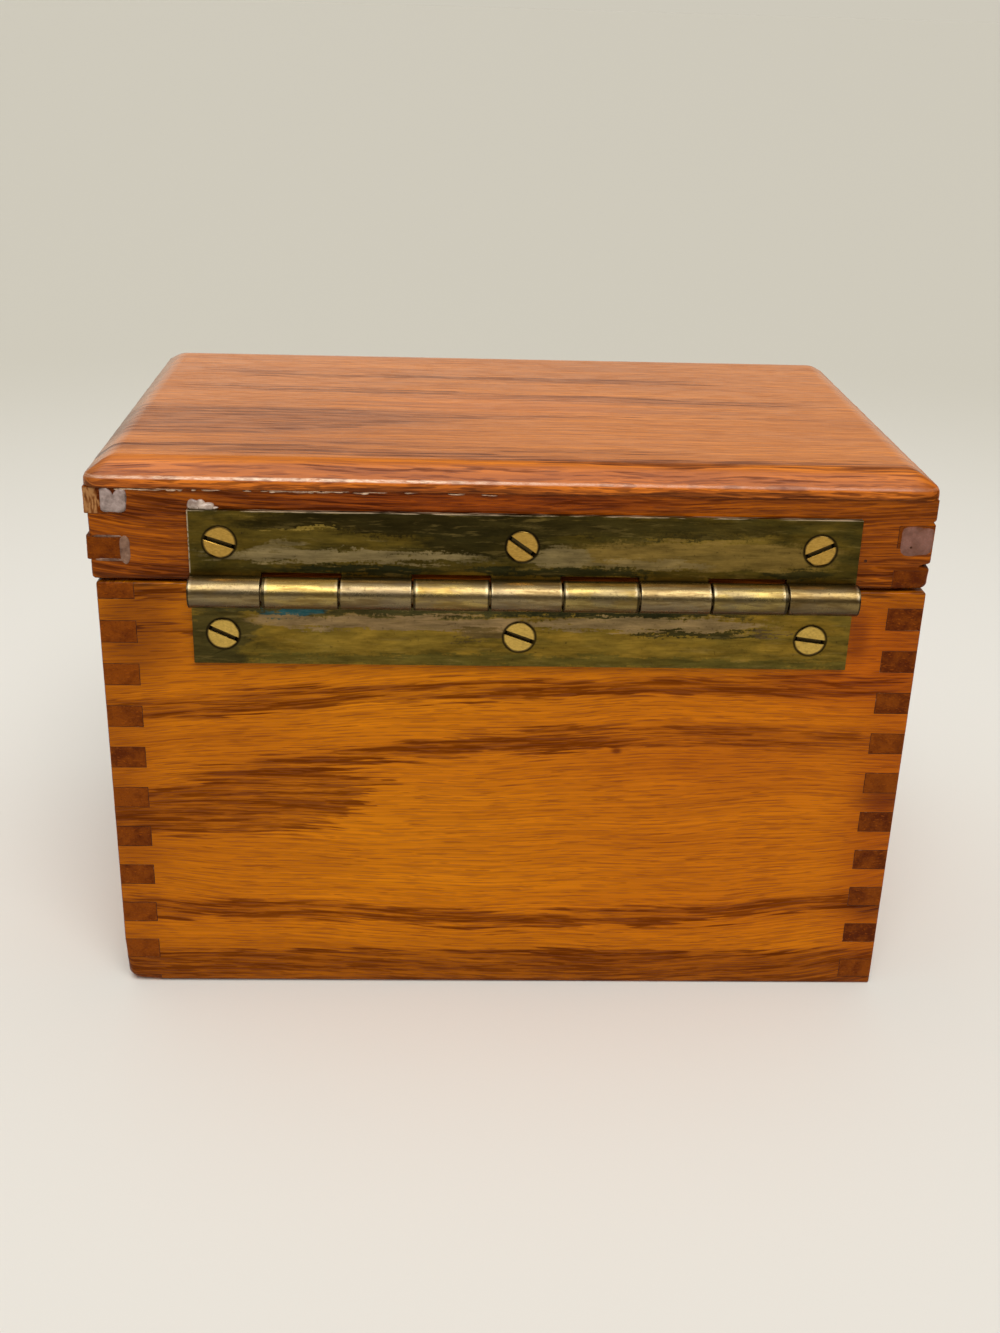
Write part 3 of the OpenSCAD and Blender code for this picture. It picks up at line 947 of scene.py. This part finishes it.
# The top board's edge, as (inset, height): an upright foot, an eased arris, a wide bevel
EDGE_H = 1.95 * MM
BEVEL_W = 5.0 * MM
END_BEVEL = 0.74
TOP_CORNER = 2.5 * MM
CORNER_STEPS = 8
EDGE_STEP = 0.8 * MM
TOP_END_X = 0.066  # the worn arris of the ends lies beyond


def edge_profile(thick):
    """Points (inset, height) of the edge, from the foot up to the flat top."""
    corners = [(0.0, 0.0, 0.15), (0.0, EDGE_H, 0.85), (BEVEL_W, thick, 1.8)]
    ends = [(BEVEL_W * 0.15, 0.0)] + [c[:2] for c in corners] + [(BEVEL_W * 2, thick)]
    points = []
    for i, (px, pz, ease) in enumerate(corners):
        p = Vector((px, pz))
        before = (Vector(ends[i]) - p).normalized() * ease * MM
        after = (Vector(ends[i + 2]) - p).normalized() * ease * MM
        for k in range(9):
            t = k / 8
            points.append(p + before * (1 - t) ** 2 + after * t ** 2)
    return points


def outline(inset, corner):
    """Points of the top board's plan, inset from its edge, with round corners."""
    x0, y0 = top_lo.x + inset * END_BEVEL, top_lo.y + inset
    x1, y1 = top_hi.x - inset * END_BEVEL, top_hi.y - inset
    centres = [(x1 - corner, y1 - corner, 0), (x0 + corner, y1 - corner, 90),
               (x0 + corner, y0 + corner, 180), (x1 - corner, y0 + corner, 270)]
    points = []
    for i, (cx, cy, start) in enumerate(centres):
        for k in range(CORNER_STEPS + 1):
            a = math.radians(start + 90 * k / CORNER_STEPS)
            points.append(Vector((cx + corner * math.cos(a), cy + corner * math.sin(a))))
        nx, ny, turn = centres[(i + 1) % 4]
        a = math.radians(turn)
        here, there = points[-1], Vector((nx + corner * math.cos(a), ny + corner * math.sin(a)))
        count = round(((top_hi.x - top_lo.x) if i % 2 == 0 else (top_hi.y - top_lo.y)) / EDGE_STEP)
        points += [here.lerp(there, k / count) for k in range(1, count)]
    return points


def build_lid_top(mats):
    """The top board, its upper edges bevelled, its arris rubbed along the hinge side."""
    thick = top_hi.z - top_lo.z
    bm = bmesh.new()
    loops = []
    for inset, height in edge_profile(thick):
        loop = []
        for p in outline(inset, max(TOP_CORNER - inset * 0.3, 1.0 * MM)):
            at = Vector((p.x, p.y, top_lo.z + height))
            wear = noise.noise(at / (4.0 * MM)) * 0.06 + noise.noise(at / (0.8 * MM)) * 0.05
            on_arris = math.exp(-((height - EDGE_H * 1.15) / (0.9 * MM)) ** 2)
            pull = (0.11 + wear) * on_arris * MM
            at.x -= math.copysign(pull, at.x) if abs(at.x) > TOP_END_X else 0.0
            at.y -= math.copysign(pull, at.y) if abs(at.y) > NEAR_BACK_Y else 0.0
            at.z -= pull * 0.5
            loop.append(bm.verts.new(at))
        loops.append(loop)
    skin(bm, loops)
    bmesh.ops.recalc_face_normals(bm, faces=bm.faces)
    split_ngons(bm)
    smooth(new_piece("lid_top_wood", bm, [mats["lid_top"]], "lid", "lid_top"), 60)


def build_bottom(mats):
    bm = from_node("bottom_panel")
    bmesh.ops.bevel(bm, geom=list(bm.edges), offset=0.15 * MM, segments=2, affect="EDGES")
    smooth(new_piece("bottom_ply", bm, [mats["ply"]], "box", "bottom_panel"))


def eased(node, name, offset, mat, body, angle=35.0):
    """A CAD node's own shape with its sharp edges eased."""
    bm = from_node(node)
    sharp = [e for e in bm.edges if len(e.link_faces) == 2
             and e.calc_face_angle(0.0) > math.radians(angle)]
    bmesh.ops.bevel(bm, geom=sharp, offset=offset, segments=2, affect="EDGES",
                    clamp_overlap=True)
    split_ngons(bm)
    smooth(new_piece(name, bm, [mat], body, node), angle)


def build_hinge(mats):
    eased("lid_hinge_leaf", "lid_leaf_brass", 0.10 * MM, mats["lid_leaf"], "lid")
    eased("box_hinge_leaf", "box_leaf_brass", 0.10 * MM, mats["box_leaf"], "box")
    eased("hinge_pin", "pin_brass", 0.15 * MM, mats["pin"], "box")
    for body in ("lid", "box"):
        for side in ("left", "middle", "right"):
            node = f"{body}_screw_{side}"
            eased(node, node + "_brass", 0.06 * MM, mats["screw"], body)


# Lines of the grain on the back, as (along X, height)
LINE_A = [(72, 56.8), (60, 57.2), (50, 57.8), (40, 59), (30, 60.2), (20, 60.6), (10, 61.2),
          (-10, 61.6), (-20, 62.0), (-40, 62.6), (-60, 62.6), (-72, 62.6)]
LINE_B = [(53, 43.2), (43, 45.4), (33, 46.8), (22, 48.6), (11, 49.8), (0, 50.9), (-10, 52.0),
          (-24, 52.4)]
LINE_C = [(72, 15.6), (60, 15.8), (50, 16.2), (40, 15.6), (30, 15.4), (20, 15), (10, 14.0),
          (0, 13.3), (-10, 14.2), (-20, 14.4), (-32, 14.6), (-42, 15.8), (-52, 17), (-72, 18.8)]
BACK_FEATURES = [
    Band(LINE_A, 1.2, 3.4, 1.0),
    Band(LINE_B, 1.2, 3.6, 1.0, 5.0),
    Band([(-12, 52.4), (-30, 53.0), (-40, 52.8), (-50, 52.1), (-68, 52.0)], 1.4, 4.0, 0.68, 5.0),
    Band([(22, 50.0), (10, 50.0), (-2, 49.8), (-18, 50.6)], 0.5, 1.4, 0.9, 3.0),
    Patch([(72, 32.6), (50, 33), (38, 33.4), (32, 35), (27, 38.4), (24, 43)],
          [(72, 40), (62, 41.5), (53, 44), (43, 45.2), (33, 45.6), (26, 44.4), (22, 41)], 0.9),
    Band(LINE_C, 1.5, 3.6, 0.95),
    Patch([(72, -5), (-72, -5)], [(72, 7.0), (40, 7.2), (0, 6.8), (-40, 7.0), (-72, 7.6)], 0.75),
    Band([(68, 6.4), (30, 6.5), (0, 6.2), (-40, 6.4), (-68, 6.9)], 0.3, 1.4, 1.0),
    Band([(74, 79.4), (60, 79.2), (52, 78.6)], 1.0, 2.4, 0.9),
    Band([(66, 73.4), (60, 72.6), (54, 71.8)], 0.3, 1.1, 0.9, 3.0),
]
BACK_FLOW = [(15, [(72, 18.4), (40, 16.6), (0, 14.6), (-40, 16), (-72, 20)]),
             (61, [(72, 57), (40, 59.5), (0, 62.5), (-40, 63.6), (-72, 62.8)])]
# Ovals that tint the back: partly the wood's tone, partly painted shade, darker high up at the ends
BACK_SHADES = [
    (-62, 70, 16, 12, (0.80, 0.62, 0.7)),
    (65, 74, 7, 9, (0.52, 0.46, 0.6)),
    (-72, 30, 9, 45, (0.74, 0.60, 0.7)),
    (72, 35, 8, 40, (0.74, 0.68, 0.75)),
    (58, 42, 22, 42, (0.86, 0.80, 0.9)),
    (-45, 40, 40, 40, (0.93, 0.84, 1.0)),
    (0, 0, 160, 9, (0.72, 0.66, 1.0)),
    (-70, 79.5, 7, 4, (0.72, 0.70, 0.7)),
    (-70, 72, 7, 4, (0.84, 0.82, 0.9)),
    (-19.2, 50.2, 0.9, 0.6, (0.40, 0.30, 0.5)),
    (-5, 49, 60, 8, (0.92, 0.87, 0.95)),
    (-45, 47, 24, 7, (0.93, 0.90, 0.95)),
    (0, 15, 90, 5, (0.95, 0.91, 0.95)),
    # painted shadow of the hinge beside the box leaf's -X end
    (-60.6, 73, 2.0, 5, (0.62, 0.56, 0.6)),
    (-69, 40, 2.8, 2.2, (0.80, 0.70, 0.7)),
    (-70, 41, 6, 2.6, (0.58, 0.55, 0.7)),
    (-70, 17, 6, 2.6, (0.58, 0.55, 0.7)),
]
LID_BACK_FEATURES = [
    Patch([(-72, 79), (72, 79)], [(-72, 100), (72, 100)], 0.5),
    Band([(72, 94), (40, 95.5), (0, 96.5), (-16, 96.8)], 1.6, 3.0, 0.9),
    Band([(-30, 94.2), (-72, 94)], 0.6, 1.2, 0.5),
    Band([(72, 83), (40, 84), (0, 85), (-72, 84)], 1.0, 3.0, 0.9),
    Band([(72, 90.5), (58, 90), (45, 89)], 0.8, 2.0, 0.6),
    Band([(-50, 88), (-60, 89), (-72, 90)], 0.8, 3.0, 0.6),
]
LID_BACK_FLOW = [(84, [(72, 86.2), (57, 84.4), (40, 83.4), (0, 84), (-72, 84)]),
                 (96, [(72, 98.4), (57, 96.6), (30, 94.6), (0, 95), (-30, 96), (-72, 96)])]
LID_BACK_SHADES = [
    (8, 97, 34, 3.2, (0.86, 0.68, 0.6)),
]
# Lines of the grain on the top, as (along X, depth Y): Y grows towards the hinge
TOP_FEATURES = [
    Patch([(72, 5), (40, 6), (20, 8), (0, 9), (-12, 8.5)],
          [(72, 24), (50, 25), (30, 20), (10, 14), (-6, 11), (-12, 9)], 0.7),
    Band([(60, -12), (40, -10), (15, -8), (0, -6), (-20, -5), (-40, -4), (-62, -4)], 2, 4, 0.75),
    Band([(60, -25), (35, -22), (10, -22), (-10, -21), (-40, -21)], 2, 4, 0.65),
    Patch([(72, 32.5), (45, 32.5), (28, 34), (10, 36), (0, 37), (-25, 38), (-45, 37), (-72, 39)],
          [(72, 37), (45, 38), (28, 38.5), (10, 39.5), (0, 40), (-25, 42), (-45, 41), (-72, 43)]),
    Band([(40, 29), (20, 31), (0, 33), (-30, 34)], 1.0, 2.0, 0.7),
    Band([(72, 45.8), (0, 46), (-72, 45.6)], 1.2, 3.0, 0.4),
    Band([(70, 42.6), (40, 43.2), (10, 43.0), (-30, 44.0), (-70, 43.2)], 0.3, 1.3, 0.75),
]
# The upright edge's painted light: upper and lower height, colour factors
TOP_PAINTED_EDGE_LIGHT = (99.95, 99.6, (1.28, 1.32, 1.3))
# Ovals that tint the top: partly its tone, partly painted shade at the end bevels
TOP_SHADES = [
    (45, 15, 34, 13, (0.86, 0.84, 0.9)),
    (0, 48, 160, 6, (0.84, 0.75, 0.8)),
    # painted shade on the +X end bevel, which faces away from the light
    (75, 0, 5.2, 90, (0.45, 0.54, 1.2)),
    # painted shade on the -X end bevel
    (-74, 0, 3.6, 90, (0.62, 0.50, 0.6)),
    (0, 44.5, 160, 3, (0.92, 0.92, 1.15)),
    (0, 1, 24, 9, (1.05, 1.01, 0.96)),
    (-20, 41.5, 50, 3.2, (1.08, 1.04, 0.6)),
    (62, 41, 10, 4, (1.12, 1.18, 2.0)),
]
# The back arris's painted highlight with wear: low, high, tone, strength along X
TOP_HIGHLIGHT_AND_WEAR = (99.85, 100.25, (1.0, 0.72, 0.50),
           [(-72, 0.10), (-30, 0.15), (5, 0.5), (20, 0.8), (50, 0.85), (62, 0.55), (72, 0.3)])


# The sides that the photograph doesn't show: side, axis of the grain, rings, seed
HIDDEN_GRAIN = [
    ("front", 0, Rings(38, -18, 0.10), 4.0),
    ("left", 1, Rings(55, 10, 0.12, 8.0), 11.0),
    ("right", 1, Rings(25, 12, -0.10, 8.5), 23.0),
]


def make_materials():
    lid = dict(light=(0.50, 0.125, 0.002), mid=(0.16, 0.031, 0.001), dark=(0.045, 0.007, 0.001),
               stretch=1.3, tick=1.2, calm=0.35, lines=(14.0, 0.5, 0.75),
               seam_darkening=(LID_Z0 / MM, 1.1))
    top = dict(light=(0.76, 0.230, 0.017), mid=(0.34, 0.085, 0.010), dark=(0.10, 0.020, 0.004),
               stretch=1.5, tick=1.6, depth=0.75, calm=0.3, lines=(34.0, 0.7, 0.6), gloss=0.5,
               shades=TOP_SHADES, seam_darkening=(LID_Z1 / MM, 1.1),
               painted_edge_light=TOP_PAINTED_EDGE_LIGHT, highlight_and_wear=TOP_HIGHLIGHT_AND_WEAR)
    box = dict(seam_darkening=(BOX_H / MM, 1.1))
    mats = {
        "back": oak("oak_back", 0, 2, BACK_FEATURES, BACK_FLOW, shades=BACK_SHADES, **box),
        "end": end_grain("oak_end_grain"),
        "end_lid": end_grain("oak_end_grain_lid", 3.0, chip=(70.2, 93.6)),
        "line": joint_line("joint_line"),
        "lid_back": oak("oak_lid_back", 0, 2, LID_BACK_FEATURES, LID_BACK_FLOW, seed=2.0,
                        shades=LID_BACK_SHADES, **lid),
        "lid_top": oak("oak_lid_top", 0, 1, TOP_FEATURES, seed=8.0, **top),
        "tooth": filler("filler_white", (0.37, 0.275, 0.245), (0.11, 0.070, 0.052)),
        "pale": filler("filler_pale", (0.56, 0.44, 0.36), (0.28, 0.20, 0.16)),
        "mauve": filler("filler_mauve", (0.21, 0.080, 0.052), (0.13, 0.040, 0.018)),
        "glue": filler("glue_crumbs", (0.60, 0.41, 0.26), (0.30, 0.15, 0.08)),
        "haze": filler("glue_haze", (0.23, 0.115, 0.065), (0.09, 0.030, 0.010)),
        "ply": plywood("plywood_panel"),
        # The lid leaf's tones are tarnish made darker by a painted darker reflection
        "lid_leaf": leaf_brass("brass_lid_leaf", LID_LEAF_PATCHES, (0.115, 0.075, 0.011),
                               (0.060, 0.045, 0.009), (0.27, 0.195, 0.085),
                               (-42.0, -48.0, (0.80, 0.76, 0.66)),
                               leaf_hi.z - AXIS_Z, 0.0),
        "box_leaf": leaf_brass("brass_box_leaf", BOX_LEAF_PATCHES, (0.25, 0.150, 0.019),
                               (0.14, 0.095, 0.015), (0.37, 0.26, 0.080),
                               (-6.0, -10.0, (0.76, 0.78, 0.82)), 99.0, 5.0),
        "pin": pin_brass("brass_pin"),
        "screw": screw_brass("brass_screw"),
    }
    for side, along, rings, seed in HIDDEN_GRAIN:
        mats[side] = oak("oak_" + side, along, 2, rings=rings, seed=seed, **box)
        mats["lid_" + side] = oak("oak_lid_" + side, along, 2, rings=rings, seed=seed, **lid)
    return mats


# The set: floor, room, light and camera
def build_set():
    """A floor with painted shade: paler near the box, darker behind it, as the light's falloff
    would make it.
    """
    m = Material("floor_paint")
    far = m.step(m.length(m.x, m.sub(m.y, 400.0)), 500.0, 950.0)
    m.set(Base_Color=m.mix(far, (0.75, 0.735, 0.69), (0.58, 0.56, 0.49)), Roughness=0.7)
    bm = bmesh.new()
    bmesh.ops.create_grid(bm, x_segments=1, y_segments=1, size=60.0)
    floor = add_mesh("floor", bm, [m.mat])


def sun_light(name, towards, spread, strength, colour):
    """A soft light from a direction; spread is its apparent width in degrees."""
    light = bpy.data.lights.new(name, "SUN")
    light.angle = math.radians(spread)
    light.energy = strength
    light.color = colour
    obj = add_object(name, light)
    obj.location = Vector(towards)
    obj.rotation_euler = (-Vector(towards)).to_track_quat("-Z", "Y").to_euler()


# The room that the varnish and the brass reflect: pale low down behind the box, dim elsewhere
ROOM_PALE = (0.56, 0.53, 0.45)
ROOM_BRIGHT = (0.80, 0.76, 0.66)
ROOM_DIM = (0.15, 0.14, 0.125)
ROOM_GLOW = (0.62, 0.60, 0.57)
# the far floor's brightness below includes its painted shade
HORIZON = (0.617, 0.584, 0.497)  # the far floor's own brightness, seen behind the floor
WALL_TOP = math.sin(math.radians(15))


def build_light():
    world = bpy.data.worlds.new("room")
    bpy.context.scene.world = world
    world.use_nodes = True
    w = Nodes(world.node_tree)
    x, y, z = w.new("SeparateXYZ", w.new("TexCoord").outputs["Generated"]).outputs
    wall = w.mul(w.step(z, WALL_TOP + 0.07, WALL_TOP - 0.06), w.step(y, 0.1, -0.1))
    upper = w.mix(w.step(z, 0.55, 0.92), ROOM_DIM, ROOM_GLOW)
    lower = w.mix(w.step(x, -0.4, 0.4), ROOM_PALE, ROOM_BRIGHT)
    room = w.mix(wall, upper, lower)
    shown = w.mix(w.new("LightPath").outputs["Is Camera Ray"], room, HORIZON)
    w.new("OutputWorld", w.new("Background", shown, 1.0).outputs[0])
    sun_light("lamp", (-0.06, 0.57, 0.82), 46, 2.1, (1.0, 0.985, 0.96))
    sun_light("ceiling", (0.05, 0.05, 1.0), 70, 0.55, (1.0, 0.985, 0.96))


# The camera, solved from the box's corners in the photograph
CAM_PLACE = Vector((14.0, 292.4, 173.8)) * MM
CAM_PITCH = math.radians(23.49)
CAM_YAW = math.radians(2.71)
CAM_ROLL = math.radians(-1.73)
CAM_LENS = 41.25


def build_camera():
    ahead = Vector((-math.sin(CAM_YAW) * math.cos(CAM_PITCH),
                    -math.cos(CAM_YAW) * math.cos(CAM_PITCH), -math.sin(CAM_PITCH)))
    level = Vector((-math.cos(CAM_YAW), math.sin(CAM_YAW), 0))
    down = ahead.cross(level)
    right = math.cos(CAM_ROLL) * level + math.sin(CAM_ROLL) * down
    down = -math.sin(CAM_ROLL) * level + math.cos(CAM_ROLL) * down
    cam = bpy.data.cameras.new("camera")
    cam.lens = CAM_LENS
    cam.sensor_width = 36.0
    cam.clip_start = 0.01
    obj = add_object("camera", cam)
    turn = Matrix((right, -down, -ahead)).transposed()
    obj.matrix_world = Matrix.Translation(CAM_PLACE) @ turn.to_4x4()
    bpy.context.scene.camera = obj


bpy.context.scene.view_settings.view_transform = "Standard"
random.seed(7)
materials = make_materials()
build_box_boards(materials)
build_lid_frame(materials)
build_lid_top(materials)
build_bottom(materials)
build_hinge(materials)
build_repairs(materials)
build_set()
build_light()
build_camera()
